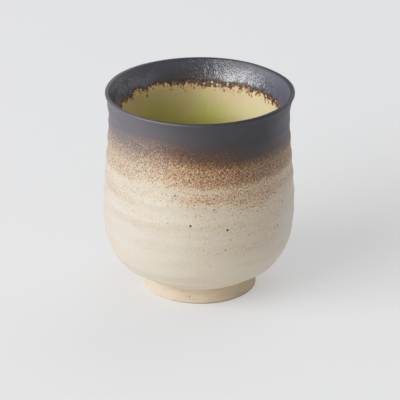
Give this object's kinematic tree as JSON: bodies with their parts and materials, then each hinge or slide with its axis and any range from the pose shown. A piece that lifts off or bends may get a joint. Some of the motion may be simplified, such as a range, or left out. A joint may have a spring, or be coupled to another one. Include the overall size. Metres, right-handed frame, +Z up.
{
  "type": "tea cup",
  "caption": "Handleless round tea cup with a flared lip, a full belly and a turned foot ring, glazed charcoal at the rim, cream below and green inside.",
  "frame": {"origin": "centre of the cup's resting face, on the axis", "axes": "+Z up along the cup's axis to the mouth, -Y towards the camera of the picture, +X to its right"},
  "size_m": [0.0826, 0.0824, 0.0895],
  "materials": {
    "stoneware": "bare fired stoneware, matt",
    "bare_clay": "bare fired clay with turning lines, matt",
    "cream_glaze": "satin matt cream glaze",
    "iron_speckle": "stippled iron brown over cream, satin matt",
    "charcoal_glaze": "charcoal glaze, satin outside and glossier inside",
    "green_glaze": "glossy cream glaze that turns yellow green towards the floor"
  },
  "bodies": {
    "root": {"clay_bowl": "stoneware", "foot_ring": "bare_clay", "cream_glaze": "cream_glaze", "iron_fade": "iron_speckle", "rim_glaze": "charcoal_glaze", "inner_glaze": "green_glaze"}
  },
  "joints": []
}
